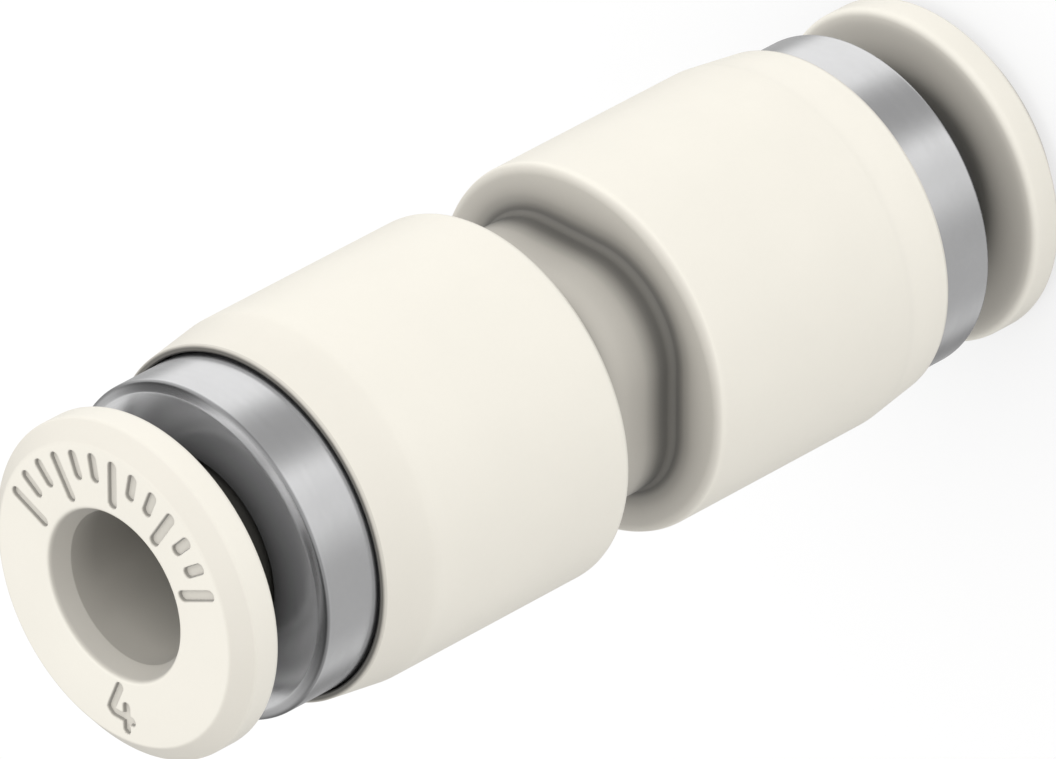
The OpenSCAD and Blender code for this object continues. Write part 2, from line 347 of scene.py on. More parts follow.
rubbed, given, result = start_group(
    "rubbed edges", [("Radius", "Float", 0.04)], [("Mask", "Float"), ("Rounded", "Vector")],
)
reach = math_node(rubbed, "MULTIPLY", given["Radius"], MM)
rounded_normal = add(rubbed, "Bevel", {"Radius": reach}, samples=4).outputs[0]
true_normal = add(rubbed, "NewGeometry").outputs["Normal"]
agree = vector_node(rubbed, "DOT_PRODUCT", rounded_normal, true_normal)
edge = remap(rubbed, agree, RUBBED_FROM, RUBBED_FULL, 0, 1)
patches = noise(rubbed, BROKEN_SIZE, detail=4.0)
broken = remap(rubbed, patches, *BROKEN_SWING, LEAST_RUBBED, 1)
rubbed.links.new(math_node(rubbed, "MULTIPLY", edge, broken, clamp=True), result["Mask"])
rubbed.links.new(rounded_normal, result["Rounded"])

# %% [markdown]
# Corners that a product photograph shows dark, such as the crease of the waist or the joint
# between plastic and metal, are dark because little of the room reaches them. An Ambient
# Occlusion node could find them, but it is grainy. This fitting is simple enough to say where
# they are, so their shade is painted into the colour: each painted shade below comes from the
# radius and the height of a point, in millimetres, with the height counted from the middle.

# %% Where a point lies
WAIST_HALF, FLATS_HALF, WAIST_CORNER = 1.55, 3.43, 2.5

place, given, result = start_group("place on the fitting", [], [
    ("Radius", "Float"), ("Height", "Float"), ("Height Up", "Float"), ("Past Waist", "Float"),
])
in_mm = vector_node(place, "SCALE", add(place, "TexCoord").outputs["Object"], Scale=1 / MM)
spot = add(place, "SeparateXYZ", {0: in_mm}).outputs
upwards = math_node(place, "SUBTRACT", spot["Z"], MIDDLE.z / MM)
flat_spot = add(place, "CombineXYZ", {0: spot["X"], 1: spot["Y"]}).outputs[0]
# The waist is a rounded square: from the middle of its corner's round, how far out a point is
corner = (FLATS_HALF - WAIST_CORNER,) * 2 + (0,)
reached = vector_node(place, "SUBTRACT", vector_node(place, "ABSOLUTE", flat_spot), corner)
reached = vector_node(place, "LENGTH", vector_node(place, "MAXIMUM", reached, (0, 0, 0)))
place.links.new(upwards, result["Height Up"])
place.links.new(math_node(place, "ABSOLUTE", upwards), result["Height"])
place.links.new(vector_node(place, "LENGTH", flat_spot), result["Radius"])
place.links.new(math_node(place, "SUBTRACT", reached, WAIST_CORNER), result["Past Waist"])

# %% [markdown]
# A shade group looks a point up on curves, smooth lines through a few values, and gives the
# painted shade there. One leaves the material's colour as it is, less is painted shade, and
# more is painted light. The collars are bright enough to show the plastic beside them, and
# the plastic they show is painted greyer, and by place darker or lighter, than the plastic
# seen directly. So the plastic's groups have a second output, Mirrored, a painted shade for
# reflections, which the material uses for glossy rays. On the release rings, the bore and the
# flange's rim also get painted light and shade by the side that faces the softbox.

# %% Shade of the body
# Painted shade inside the body and on the mouth's rim, and the lighter painted rim that the collar
# mirrors
BORE_SHADE, RIM_SHADE, RIM_MIRRORED = 0.3, 0.22, 0.6
# Heights or distances from the axis between which one shade passes into the next
RIM_HEIGHTS, RIM_RADII, WAIST_ENDS = (9.91, 9.96), (4.7, 4.8), (1.6, 1.7)
# Whatever is nearer to the axis than this is inside the body: at the waist, and in a barrel
INSIDE_OF = 3.2, 4.63
# Going along the axis leads out of the crease this many times as fast as going outwards
FASTER_ALONG = 5.0
# Height on the waist and its painted shade in the crease, then the distance out on a
# barrel's face and its painted shade
ON_WAIST = [
    (-1.54, 0), (-1.5, 0.13), (-1.46, 0.2), (-1.34, 0.21), (-1.2, 0.15), (-1.05, 0.17),
    (-0.9, 0.25), (-0.75, 0.35), (-0.6, 0.44), (-0.45, 0.53), (-0.3, 0.57), (0, 0.62),
    (0.3, 0.67), (0.55, 0.66), (0.8, 0.5), (1.2, 0.16), (1.35, 0.2), (1.5, 0.2), (1.54, 0),
]
ON_INNER_FACE = [
    (0, 0.1), (0.09, 0.15), (0.14, 0.19), (0.2, 0.29), (0.3, 0.45), (0.4, 0.52), (0.6, 0.66),
    (0.9, 0.75), (1.2, 0.79), (1.55, 0.82), (2.2, 1),
]
# Signed height and the painted light and shade along the lower taper, the two barrels and the
# upper taper: the lower taper is painted lighter and the upper one darker. The pairs of equal
# values keep the curve level along the barrels
ALONG = [
    (-10, 1.05), (-8.7, 1.045), (-8.3, 1), (-7.9, 1), (-4, 1), (0, 1), (4, 1), (7.8, 1), (8.2, 1),
    (8.6, 0.945), (10, 0.925),
]

body_shade, given, result = start_group(
    "shade of the body", [], [("Shade", "Float"), ("Mirrored", "Float")],
)
spot = place_group(body_shade, place)
on_waist = curve(body_shade, spot["Height Up"], ON_WAIST)
above = math_node(body_shade, "SUBTRACT", spot["Height"], WAIST_HALF)
above = product(body_shade, math_node(body_shade, "MAXIMUM", above, 0.0), FASTER_ALONG)
outside = math_node(body_shade, "MAXIMUM", spot["Past Waist"], 0.0)
on_face = curve(body_shade, math_node(body_shade, "ADD", outside, above), ON_INNER_FACE)
crease = math_node(body_shade, "MAXIMUM", on_waist, on_face)
level_rim = remap(body_shade, spot["Height"], *RIM_HEIGHTS, 1, RIM_SHADE)
inner_rim = remap(body_shade, spot["Radius"], *RIM_RADII, RIM_SHADE, 1)
mouth = math_node(body_shade, "MAXIMUM", level_rim, inner_rim)
inside_of = remap(body_shade, spot["Height"], *WAIST_ENDS, *INSIDE_OF)
inside = math_node(body_shade, "LESS_THAN", spot["Radius"], inside_of)
bore = remap(body_shade, inside, 0, 1, 1, BORE_SHADE)
shade = product(body_shade, crease, bore, curve(body_shade, spot["Height Up"], ALONG))
lighter_mouth = math_node(body_shade, "MAXIMUM", mouth, RIM_MIRRORED)
body_shade.links.new(product(body_shade, shade, mouth), result["Shade"])
body_shade.links.new(product(body_shade, shade, lighter_mouth), result["Mirrored"])

# %% Shade of a release ring
# Painted shade of the sleeve as the collar mirrors it, and painted shade on the flange's bevel
SLEEVE_MIRRORED, BEVEL_SHADE = 0.4, 0.88
# Distances from the axis between which a point goes from the bore, the bevel's inside or the
# flange's underside over to the face, the bevel or the rim
BORE_RADII, BEVEL_RADII, RIM_FROM = (2.27, 2.36), (4.0, 4.1), (4.1, 4.2)
# Heights for the same, from the sleeve to the underside, to the flange and to the bevel
UNDERSIDE, FLANGE_FROM, BEVEL_HEIGHTS = (13.2, 13.33), (13.38, 13.46), (14.15, 14.25)
# Heights and painted shades of the bore, and the heights between which its sides become alike
BORE_HEIGHTS, BORE_SHADES, BORE_MOUTH = (11.0, 14.5), (0.85, 0.6), (13.3, 14.1)
# The engraved strokes: the heights and the distances from the axis where they begin and end,
# how level a wall and a floor are, and the painted shade of each
SUNK_FROM, SUNK_TO = (14.5, 14.52), (14.6, 14.645)
SUNK_INNER, SUNK_OUTER = (2.42, 2.46), (3.96, 4.0)
SUNK_LEVEL, SUNK_SHADES = (0.3, 0.9), (0.48, 0.85)
# Distance from the axis and the painted shade of the flange's underside, as the collar
# mirrors it
UNDERSIDE_IN_COLLAR = [
    (2.5, 0.8), (2.8, 0.84), (3.1, 0.92), (3.3, 0.8), (3.5, 0.62), (3.65, 0.56), (3.8, 0.62),
    (4, 0.8), (4.2, 0.8),
]
# Which way a point of the bore lies from the key light, and its painted light and shade
ACROSS_BORE = [
    (-0.87, 1.17), (-0.75, 1.13), (-0.61, 1.02), (-0.43, 0.96), (-0.22, 0.83), (0, 0.74),
    (0.22, 0.72), (0.5, 0.72), (0.87, 0.72),
]
# Which way a point of the flange's rim lies from the key light, and its painted light and
# shade in the collar
RIM_IN_COLLAR = [
    (-1, 0.2), (0, 0.15), (0.15, 0.1), (0.3, 0.14), (0.43, 0.68), (0.56, 1.15), (0.66, 1.35),
    (0.76, 1.6), (0.87, 1.4),
]
# Distance from the axis and the painted shade under the flange
IN_GAP = [
    (2.6, 0.06), (2.9, 0.25), (3.2, 0.5), (3.4, 0.6), (3.7, 0.66), (4.15, 0.69), (4.3, 0.78),
    (4.45, 0.9), (4.56, 1),
]

ring_shade, given, result = start_group(
    "shade of a release ring", [], [("Shade", "Float"), ("Mirrored", "Float")],
)
spot = place_group(ring_shade, place)
radius, height = spot["Radius"], spot["Height"]
way = vector_node(ring_shade, "MULTIPLY", add(ring_shade, "TexCoord").outputs["Object"], FLATTEN)
way = vector_node(ring_shade, "NORMALIZE", way)
key_side = vector_node(ring_shade, "DOT_PRODUCT", way, KEY_DIRECTION)
in_bore = remap(ring_shade, radius, *BORE_RADII, 1, 0)
across_bore = curve(ring_shade, key_side, ACROSS_BORE)
across_bore = remap(ring_shade, height, *BORE_MOUTH, across_bore, 1)
bore = product(ring_shade, remap(ring_shade, height, *BORE_HEIGHTS, *BORE_SHADES), across_bore)
in_gap = curve(ring_shade, radius, IN_GAP)
outer = remap(ring_shade, height, *FLANGE_FROM, in_gap, 1)
on_bevel = product(
    ring_shade,
    remap(ring_shade, height, *BEVEL_HEIGHTS, 0, 1),
    remap(ring_shade, radius, *BEVEL_RADII, 0, 1),
)
outer = product(ring_shade, outer, remap(ring_shade, on_bevel, 0, 1, 1, BEVEL_SHADE))
sunk = product(
    ring_shade,
    remap(ring_shade, height, *SUNK_TO, 1, 0),
    remap(ring_shade, height, *SUNK_FROM, 0, 1),
    remap(ring_shade, radius, *SUNK_INNER, 0, 1),
    remap(ring_shade, radius, *SUNK_OUTER, 1, 0),
)
true_normal = add(ring_shade, "NewGeometry").outputs["True Normal"]
level = add(ring_shade, "SeparateXYZ", {0: true_normal}).outputs["Z"]
level = math_node(ring_shade, "ABSOLUTE", level)
engraved = remap(ring_shade, level, *SUNK_LEVEL, *SUNK_SHADES)
outer = product(ring_shade, outer, remap(ring_shade, sunk, 0, 1, 1, engraved))
lighter = math_node(ring_shade, "SUBTRACT", bore, outer)
shade = math_node(ring_shade, "MULTIPLY_ADD", in_bore, lighter, outer)
ring_shade.links.new(shade, result["Shade"])
underside = curve(ring_shade, radius, UNDERSIDE_IN_COLLAR)
under_flange = remap(ring_shade, height, *UNDERSIDE, SLEEVE_MIRRORED, underside)
rim_mirrored = curve(ring_shade, key_side, RIM_IN_COLLAR)
under_flange = remap(ring_shade, radius, *RIM_FROM, under_flange, rim_mirrored)
mirrored = remap(ring_shade, height, *FLANGE_FROM, under_flange, 1)
ring_shade.links.new(mirrored, result["Mirrored"])

# %% Shade of a collar
# Height and the painted shade where the band turns over into its bevel, a thin painted dark
# line
AT_BAND_EDGE = [(11.3, 1), (11.5, 1), (11.57, 1), (11.63, 1), (11.7, 0.5), (11.77, 1), (11.9, 1)]
# Heights between which the bevel passes into the end face, then the face's inner and outer
# distance from the axis and the painted shade and light at each
END_FACE, END_FACE_RADII, END_FACE_SHADES = (11.79, 11.82), (2.75, 4.15), (0.18, 1.12)

collar_shade, given, result = start_group("shade of a collar", [], [("Shade", "Float")])
spot = place_group(collar_shade, place)
on_face = remap(collar_shade, spot["Height"], *END_FACE, 0, 1)
across = remap(collar_shade, spot["Radius"], *END_FACE_RADII, *END_FACE_SHADES)
on_edge = curve(collar_shade, spot["Height"], AT_BAND_EDGE)
collar_shade.links.new(remap(collar_shade, on_face, 0, 1, on_edge, across), result["Shade"])

# %% Turning lines round the axis
# The lines drift as they go round, and broader ones lie under them: how many times as wide
# and as deep those are
DRIFT, BROAD_PITCH, BROAD_DEPTH, SHEEN_SWING = 0.02 * MM, 7.0, 0.8, (0.35, 0.65)

turned, given, result = start_group(
    "turning lines", [("Pitch", "Float", 0.04)], [("Height", "Float"), ("Sheen", "Float")],
)
spot = add(turned, "SeparateXYZ", {0: add(turned, "TexCoord").outputs["Object"]}).outputs
flat_spot = add(turned, "CombineXYZ", {0: spot["X"], 1: spot["Y"]}).outputs[0]
radius = vector_node(turned, "LENGTH", flat_spot)
drift = product(turned, math_node(turned, "ARCTAN2", spot["Y"], spot["X"]), DRIFT)
rings = add(turned, "CombineXYZ", {0: radius, 1: spot["Z"], 2: drift}).outputs[0]
fine = noise(turned, given["Pitch"], detail=4.0, vector=rings)
broad = noise(turned, product(turned, given["Pitch"], BROAD_PITCH), detail=2.0, vector=rings)
turned.links.new(math_node(turned, "MULTIPLY_ADD", broad, BROAD_DEPTH, fine), result["Height"])
turned.links.new(remap(turned, broad, *SHEEN_SWING, -1, 1), result["Sheen"])

# %% [markdown]
# ## The finishes
# Every finish ends in one Principled BSDF. Colours are written in linear light. A helper
# starts the material and puts a Bump node in front of the shader; the bump's distance is in
# metres, so a grain one micrometre deep is written as exactly that.

# %% A helper that starts a material
MICRON = 0.001 * MM


def finish(made, colour, roughness, height, depth, rounded=None, metallic=0.0, **fixed):
    tree = made.node_tree
    bump = add(tree, "Bump", {"Height": height, "Distance": depth, "Strength": 1.0})
    if rounded:
        tree.links.new(rounded, bump.inputs["Normal"])
    shader = add(tree, "BsdfPrincipled", {
        "Base Color": colour, "Roughness": roughness, "Normal": bump.outputs[0],
        "Metallic": metallic,
    })
    for key, value in fixed.items():
        shader.inputs[key.replace("_", " ")].default_value = value
    add(tree, "OutputMaterial", {"Surface": shader.outputs[0]})


def mix(tree, share, first, second):
    """The sockets of a Mix node for colours are the ones numbered 6, 7 and, going out, 2."""
    return add(tree, "Mix", {0: share, 6: first, 7: second}, data_type="RGBA").outputs[2]


def start_material(name):
    made = bpy.data.materials.new(name)
    made.use_nodes = True
    made.node_tree.nodes.clear()
    return made

# %% [markdown]
# ### Cream plastic
# The body and the release rings are smooth, satin engineering plastic of a warm cream. From
# afar a plain colour would do. Close up no moulding is quite even, so the colour, the
# roughness and the bump each get a little noise. The rings are pressed by fingers, so their
# edges are rubbed a little smoother and paler. Both use one recipe with their own amounts.
# Light that has bounced off the plastic is dimmed, or the creases would fill up with light.

# %% Body and ring plastic
CREAM = (0.9, 0.865, 0.775, 1)
# Where a place is half in painted shade, its colour is painted a little warmer, standing in for
# the plastic's own bounced light
HALF_LIT = (1, 0.987, 0.983)
# The share of its colour that the plastic keeps for bounced light
BOUNCE = 0.3
# In mm, how wide rubbed edges and patches of tone are, then how much the grain and the
# rubbing add to the roughness, how deep the grain is, and the plastic's refraction
RUBBED_RADIUS, PLASTIC_PATCHES, GRAIN_DULLS, RUBBING_DULLS = 0.04, 2.4, 0.05, -0.08
GRAIN_DEPTH, PLASTIC_IOR = 0.6 * MICRON, 1.46


def moulded_plastic(name, colour, roughness, wear, grain_size, unevenness, shade=None):
    made = start_material(name)
    tree = made.node_tree
    uneven = place_group(tree, tone, Colour=colour, Amount=unevenness, Size=PLASTIC_PATCHES)
    uneven = uneven["Colour"]
    edges = place_group(tree, rubbed, Radius=RUBBED_RADIUS)
    mask = edges["Mask"]
    pale = math_node(tree, "MULTIPLY_ADD", mask, wear, 1.0)
    path = add(tree, "LightPath").outputs
    kept = product(tree, pale, remap(tree, path["Is Diffuse Ray"], 0, 1, 1, BOUNCE))
    if shade:
        # Painted shade from the shade group: Shade for what the camera sees, Mirrored for glossy
        # rays
        shades = place_group(tree, shade)
        seen = remap(tree, path["Is Glossy Ray"], 0, 1, shades["Shade"], shades["Mirrored"])
        kept = product(tree, kept, seen)
        # lit * (1 - lit) is greatest, a quarter, where a place is half in shade
        lit = shades["Shade"]
        half_lit = product(tree, lit, math_node(tree, "SUBTRACT", 1.0, lit))
        half_lit = math_node(tree, "MULTIPLY", half_lit, 4.0, clamp=True)
        uneven = mix(tree, half_lit, uneven, vector_node(tree, "MULTIPLY", uneven, HALF_LIT))
    # Painted reflection: glossy rays see the plastic as a plain grey of its brightness
    grey = (sum(colour[:3]) / 3,) * 3 + (1,)
    shown = mix(tree, path["Is Glossy Ray"], uneven, grey)
    worn = vector_node(tree, "SCALE", shown, Scale=kept)
    texture = place_group(tree, grain, Size=grain_size)
    dull = math_node(tree, "MULTIPLY_ADD", texture["Dullness"], GRAIN_DULLS, roughness)
    rough = math_node(tree, "MULTIPLY_ADD", mask, RUBBING_DULLS, dull)
    finish(made, worn, rough, texture["Height"], GRAIN_DEPTH, edges["Rounded"], IOR=PLASTIC_IOR)
    return made


body_plastic = moulded_plastic(
    "cream_body_plastic", CREAM, roughness=0.46, wear=0.015, grain_size=0.07, unevenness=0.012,
    shade=body_shade,
)
ring_plastic = moulded_plastic(
    "cream_ring_plastic", CREAM, roughness=0.42, wear=0.02, grain_size=0.05, unevenness=0.012,
    shade=ring_shade,
)
print("plastics:", body_plastic.name, ring_plastic.name)

# %% [markdown]
# ### Bright metal
# The collars are turned brass with a bright nickel skin. The lathe leaves fine lines round
# the axis, which smear reflections along the axis. An anisotropic shader could smear them
# too, but bumped lines can also be seen from close by. The claws are stamped from spring
# steel, darker and duller, and share the recipe.

# %% Collar metal and claw steel
NICKEL, STEEL = (0.74, 0.74, 0.745, 1), (0.5, 0.49, 0.47, 1)
# How uneven the metal's tone is, the size of its patches in mm, and how much the turning
# lines add to the roughness
METAL_UNEVENNESS, METAL_PATCHES, SHEEN_DULLS = 0.03, 1.4, 0.03


def turned_metal(name, colour, roughness, pitch, depth, wear, shade=None):
    made = start_material(name)
    tree = made.node_tree
    lines = place_group(tree, turned, Pitch=pitch)
    edges = place_group(tree, rubbed, Radius=RUBBED_RADIUS)
    uneven = place_group(tree, tone, Colour=colour, Amount=METAL_UNEVENNESS, Size=METAL_PATCHES)
    bright = math_node(tree, "MULTIPLY_ADD", edges["Mask"], wear, 1.0)
    # Painted shade and light from the shade group darken or lighten the metal's colour by place
    if shade:
        bright = product(tree, bright, place_group(tree, shade)["Shade"])
    worn = vector_node(tree, "SCALE", uneven["Colour"], Scale=bright)
    rough = math_node(tree, "MULTIPLY_ADD", lines["Sheen"], SHEEN_DULLS, roughness)
    finish(made, worn, rough, lines["Height"], depth, edges["Rounded"], metallic=1.0)
    return made


collar_metal = turned_metal(
    "bright_collar_metal", NICKEL, roughness=0.2, pitch=0.03, depth=0.12 * MICRON, wear=0.08,
    shade=collar_shade,
)
claw_steel = turned_metal(
    "claw_spring_steel", STEEL, roughness=0.3, pitch=0.06, depth=0.5 * MICRON, wear=0.1,
)
print("metals:", collar_metal.name, claw_steel.name)

# %% [markdown]
# ### Inside parts
# The support ring is an unpainted white plastic, made with the body's recipe. The seal is
# black rubber with a faint bloom on it, so its patches are strong and its grain is deep.
# They sit deep in the bore, but an open view down the bore reaches them.

# %% Support ring plastic and seal rubber
INNER_WHITE, RUBBER_BLACK = (0.72, 0.73, 0.71, 1), (0.028, 0.028, 0.03, 1)
# How strong the bloom on the rubber is and how wide in mm its patches are
BLOOM, BLOOM_PATCHES = 0.25, 0.8
RUBBER_ROUGHNESS, RUBBER_GRAIN, RUBBER_DULLS, RUBBER_DEPTH = 0.6, 0.04, 0.08, 1.5 * MICRON

inner_plastic = moulded_plastic(
    "white_inner_plastic", INNER_WHITE, roughness=0.4, wear=0.02, grain_size=0.08,
    unevenness=0.02,
)


def seal_rubber_material():
    made = start_material("black_seal_rubber")
    tree = made.node_tree
    uneven = place_group(tree, tone, Colour=RUBBER_BLACK, Amount=BLOOM, Size=BLOOM_PATCHES)
    texture = place_group(tree, grain, Size=RUBBER_GRAIN)
    dull = math_node(tree, "MULTIPLY_ADD", texture["Dullness"], RUBBER_DULLS, RUBBER_ROUGHNESS)
    finish(made, uneven["Colour"], dull, texture["Height"], RUBBER_DEPTH)
    return made


seal_rubber = seal_rubber_material()
print("inside:", inner_plastic.name, seal_rubber.name)

# %% [markdown]
# ## Round parts from outlines
# Every piece but the claw is a shape that goes round the axis. It is drawn as a closed
# outline of corners, given as radius, height from the middle, and rounding, all in
# millimetres. Each rounded corner becomes an arc that touches both of its sides, and the
# outline is then swept round the axis. A mesh made this way has even quads and real rounded
# edges, which catch the light as moulded and turned edges do.

# %% Outlines with rounded corners
ARC_STEPS = 6


def outline(corners):
    """Corners are (radius, height, rounding). The result has a row for each point."""
    points = []
    for i, (x, y, rounding) in enumerate(corners):
        here = np.array((x, y), float)
        if rounding == 0:
            points.append(here)
            continue
        back = np.array(corners[i - 1][:2]) - here
        on = np.array(corners[(i + 1) % len(corners)][:2]) - here
        back, on = back / np.linalg.norm(back), on / np.linalg.norm(on)
        half = math.acos(np.clip(back @ on, -1, 1)) / 2
        middle = (back + on) / np.linalg.norm(back + on)
        centre = here + middle * rounding / math.sin(half)
        first = here + back * rounding / math.tan(half) - centre
        last = here + on * rounding / math.tan(half) - centre
        for share in np.linspace(0, 1, ARC_STEPS + 1):
            spoke = first * (1 - share) + last * share
            points.append(centre + spoke / np.linalg.norm(spoke) * rounding)
    return np.array(points)

# %% Sweep an outline round the axis
AROUND = 256


def sweep(name, radii, heights):
    """radii has a row for each point of the outline and a column for each step round."""
    rows, columns = radii.shape
    angle = np.arange(columns) * 2 * math.pi / columns
    vertices = np.stack([
        radii * np.cos(angle), radii * np.sin(angle), np.repeat(heights[:, None], columns, 1),
    ], -1).reshape(-1, 3) * MM + np.array(MIDDLE)
    index = np.arange(rows * columns).reshape(rows, columns)
    down, on = np.roll(index, -1, 0), np.roll(index, -1, 1)
    faces = np.stack([index, on, np.roll(down, -1, 1), down], -1).reshape(-1, 4)
    mesh = bpy.data.meshes.new(name)
    mesh.from_pydata(vertices.tolist(), [], faces.tolist())
    return mesh


def revolve(name, points):
    return sweep(name, np.repeat(points[:, :1], AROUND, 1), points[:, 1])

# %% [markdown]
# Each mesh then becomes a piece: its faces are turned outwards, it gets its finish, its
# shading is smooth except across sharp edges, it is hung on the body it moves with, and the
# CAD solid it stands for is hidden. The lower end's pieces are the upper ones turned over.

# %% Make a piece
# In degrees, the least angle between two faces that is shown as a sharp edge
SHARP_FROM = 38


def face_outwards(mesh):
    shape = bmesh.new()
    shape.from_mesh(mesh)
    bmesh.ops.recalc_face_normals(shape, faces=shape.faces)
    shape.to_mesh(mesh)
    shape.free()


def piece(name, mesh, material, node, body=None):
    face_outwards(mesh)
    mesh.materials.clear()
    mesh.materials.append(material)
    mesh.shade_smooth()
    mesh.set_sharp_from_angle(angle=math.radians(SHARP_FROM))
    made = bpy.data.objects.new(name, mesh)
    bpy.context.scene.collection.objects.link(made)
    weighted = made.modifiers.new("even shading", "WEIGHTED_NORMAL")
    weighted.keep_sharp = True
    if body:
        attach(made, body)
    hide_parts(node)
    print(name, len(mesh.polygons), "faces")
    return made


def turned_over(mesh):
    copy = mesh.copy()
    copy.transform(
        Matrix.Translation(MIDDLE) @ Matrix.Rotation(math.pi, 4, "X") @ Matrix.Translation(-MIDDLE)
    )
    return copy


def both_ends(name, mesh, material, bodies):
    """Makes upper_NAME and lower_NAME. bodies says what each rides on."""
    other = turned_over(mesh)
    piece("upper_" + name + "_piece", mesh, material, "upper_" + name, bodies[0])
    piece("lower_" + name + "_piece", other, material, "lower_" + name, bodies[1])

# %% [markdown]
# ## The body
# Two barrels on a narrow waist, moulded in one piece. The waist is a square with well rounded
# corners that runs into the barrels' faces with a small fillet. Sweeping a circle can't make
# it, so the rows of the sweep that belong to the waist get a radius that changes with the
# angle, and the rest stay round. Inside, both ends are bored in steps for the guide, the
# seal, the support ring and the collar.

# %% The body's outline
BARREL, WAIST_FILLET, BARREL_END = 5.0, 0.25, 10
# Each step of the bore from the mouth inwards: its distance from the axis and its floor
RECESS, RECESS_FLOOR = 4.59, 9.3
SOCKET, SOCKET_FLOOR = 4.0, 4.87
CHAMBER, CHAMBER_FLOOR = 3.4, 3.25
GUIDE, STOP = 2.05, 1.85
HALF_BODY = [
    (FLATS_HALF, WAIST_HALF, WAIST_FILLET), (BARREL, WAIST_HALF, 0.28), (BARREL, 8.35, 1),
    (4.77, BARREL_END, 0.05), (RECESS, BARREL_END, 0.02), (RECESS, RECESS_FLOOR, 0),
    (SOCKET, RECESS_FLOOR, 0.03), (SOCKET, SOCKET_FLOOR, 0), (CHAMBER, SOCKET_FLOOR, 0.03),
    (CHAMBER, CHAMBER_FLOOR, 0), (2.13, CHAMBER_FLOOR, 0.02), (GUIDE, 3.17, 0.02),
    (GUIDE, STOP, 0), (1.35, STOP, 0.05),
]
body_points = outline(HALF_BODY + [(r, -h, rounding) for r, h, rounding in reversed(HALF_BODY)])
print("body outline has", len(body_points), "points")

# %% The waist's changing radius
def waist_radius(angle, outset):
    """Distance from the axis to the rounded square, grown by outset, in that direction."""
    along = np.sort(np.abs(np.stack([np.cos(angle), np.sin(angle)])), 0)[::-1]
    flat = (FLATS_HALF + outset) / along[0]
    corner = FLATS_HALF - WAIST_CORNER
    across = along.sum(0) * corner
    round_part = across + np.sqrt(across ** 2 - 2 * corner ** 2 + (WAIST_CORNER + outset) ** 2)
    return np.where(flat * along[1] <= corner, flat, round_part)


# A little more than rounding errors, in mm
SLACK = 0.01
angles = np.arange(AROUND) * 2 * math.pi / AROUND
body_radii = np.repeat(body_points[:, :1], AROUND, 1)
for row, (r, h) in enumerate(body_points):
    if abs(h) < WAIST_HALF + SLACK and -SLACK < r - FLATS_HALF < WAIST_FILLET + SLACK:
        body_radii[row] = waist_radius(angles, r - FLATS_HALF)
body_mesh = sweep("body_piece", body_radii, body_points[:, 1])
piece("body_piece", body_mesh, body_plastic, "body", "housing")

# %% [markdown]
# ## The collars
# A turned metal collar is pressed into each mouth. Only its head shows: a bright band with a
# narrow bevel round the rim. Its skirt has barbs that bite into the plastic. A lathe cuts one
# outline all the way round, so sweeping an outline is the natural way to make it.

# %% Collar outline and pieces
NECK, BAND, COLLAR_FACE, BEVEL_ROUND = 2.75, 4.54, 11.83, 0.12
SKIRT_BORE, SKIRT_END, SHOULDER = 3.45, 6.72, 9.747
BARB_PITCH, BARB_DEPTH = 0.55, 0.15
BARB_LENGTH = 0.8 * BARB_PITCH
barbs = []
for i in (2, 1, 0):
    foot = SKIRT_END + i * BARB_PITCH
    barbs += [(SOCKET, foot + BARB_LENGTH, 0), (SOCKET - BARB_DEPTH, foot, 0)]
    if i:
        barbs.append((SOCKET, foot, 0))
collar_points = outline([
    (NECK, COLLAR_FACE, 0.04), (4.26, COLLAR_FACE, BEVEL_ROUND), (BAND, 11.7, BEVEL_ROUND),
    (BAND, RECESS_FLOOR, 0.02), (SOCKET, RECESS_FLOOR, 0), *barbs,
    (SKIRT_BORE, SKIRT_END, 0.03), (SKIRT_BORE, SHOULDER, 0), (NECK, SHOULDER, 0.03),
])
on_housing = ("housing", "housing")
both_ends("collar", revolve("collar", collar_points), collar_metal, on_housing)

# %% [markdown]
# ## The release rings
# A flange to press with a finger, and a sleeve that runs down the collar to the teeth. Four
# slots let the sleeve's end spring inwards when the ring is put in. The flat face is
# engraved: the tube's size, and a scale of plain strokes on the other side. Engraving could
# be faked with a bump map, but then its walls would neither shade nor show from the side, so
# it is cut. Each stroke is a bar with round ends, a little narrower at its floor, because a
# mould must let go of it.

# %% The strokes on the face
# Half the width of the figure's and of the scale's strokes
FIGURE_HALF, SCALE_HALF = 0.13, 0.15
# The figure for the tube size, as lines between points, seen with the axis above it
FOUR = [
    [(0.17, -2.575), (-0.10, -3.21), (-0.135, -3.31), (-0.05, -3.385), (0.60, -3.405)],
    [(0.41, -3.06), (0.425, -3.7)],
]
# The scale goes this many degrees to each side, in this many steps. Every third stroke is long
SCALE_HALF_ARC, SCALE_STEPS, LONG_EVERY = 66, 12, 3
SCALE_OUT, LONG_IN, SHORT_IN = 3.72, 2.68, 3.22

strokes = []
for line in FOUR:
    for (x0, y0), (x1, y1) in zip(line, line[1:]):
        strokes.append((Vector((-x0, -y0)), Vector((-x1, -y1)), FIGURE_HALF))
for step in range(SCALE_STEPS + 1):
    turn = math.radians(-90 + SCALE_HALF_ARC * (2 * step / SCALE_STEPS - 1))
    outwards = Vector((math.cos(turn), math.sin(turn)))
    inner = LONG_IN if step % LONG_EVERY == 0 else SHORT_IN
    strokes.append((outwards * inner, outwards * SCALE_OUT, SCALE_HALF))
print(len(strokes), "strokes")

# %% Cutters
# The height of the face, how deep the strokes are, how much their walls lean, and how far
# the cutters stick out of the face
FACE, SUNK, DRAFT, CLEAR = 14.65, 0.11, 0.02, 0.05
ROUND_STEPS = 12


def prism(name, levels):
    """A solid between two closed outlines that have the same number of points."""
    count = len(levels[0][1])
    vertices = [Vector((x, y, h)) * MM + MIDDLE for h, points in levels for x, y in points]
    sides = [(i, (i + 1) % count, count + (i + 1) % count, count + i) for i in range(count)]
    mesh = bpy.data.meshes.new(name)
    mesh.from_pydata(vertices, [], [*sides, range(count - 1, -1, -1), range(count, 2 * count)])
    return mesh


